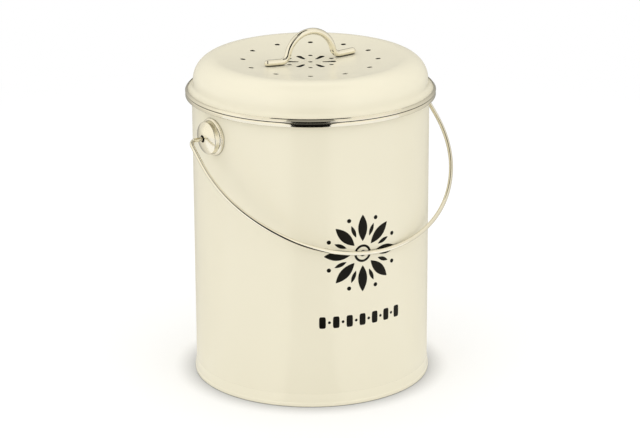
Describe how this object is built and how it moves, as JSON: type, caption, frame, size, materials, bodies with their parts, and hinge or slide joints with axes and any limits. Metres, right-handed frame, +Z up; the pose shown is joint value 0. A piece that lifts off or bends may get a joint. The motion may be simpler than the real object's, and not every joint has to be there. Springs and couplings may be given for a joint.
{
  "type": "compost caddy",
  "caption": "Round countertop compost caddy: painted steel bucket with a raised base band, rolled steel rim, swinging wire bail, and a loose vented lid that holds a charcoal pad.",
  "frame": {"origin": "centre of the base, on the surface that the caddy stands on", "axes": "+Z up; the bail's axis runs along X, and the bail hangs towards -Y"},
  "size_m": [0.2232, 0.19, 0.2701],
  "materials": {
    "cream_paint": "glossy baked cream paint on steel sheet",
    "polished_steel": "bright polished steel",
    "plain_steel": "plain rolled steel",
    "charcoal_pad": "matte charcoal-filled fibre pad"
  },
  "bodies": {
    "bucket": {"bucket_wall": "cream_paint", "base_pan": "cream_paint", "rim_ring": "polished_steel", "ear_left": "polished_steel", "ear_right": "polished_steel"},
    "bail": {"bail_wire": "polished_steel"},
    "lid": {"lid_shell": "cream_paint", "lid_hem": "polished_steel", "lid_collar": "plain_steel", "lid_handle": "polished_steel", "charcoal_filter": "charcoal_pad", "filter_clip_1": "plain_steel", "filter_clip_2": "plain_steel", "filter_clip_3": "plain_steel", "filter_clip_4": "plain_steel"}
  },
  "joints": [
    {"name": "bail_swing", "type": "hinge", "parent": "bucket", "child": "bail", "pos_m": [0, 0, 0.2008], "axis": [-1, 0, 0], "range_deg": [0, 263.3]},
    {"name": "lid_lift", "type": "slide", "parent": "bucket", "child": "lid", "axis": [0, 0, 1], "range_m": [0, 0.15]}
  ]
}
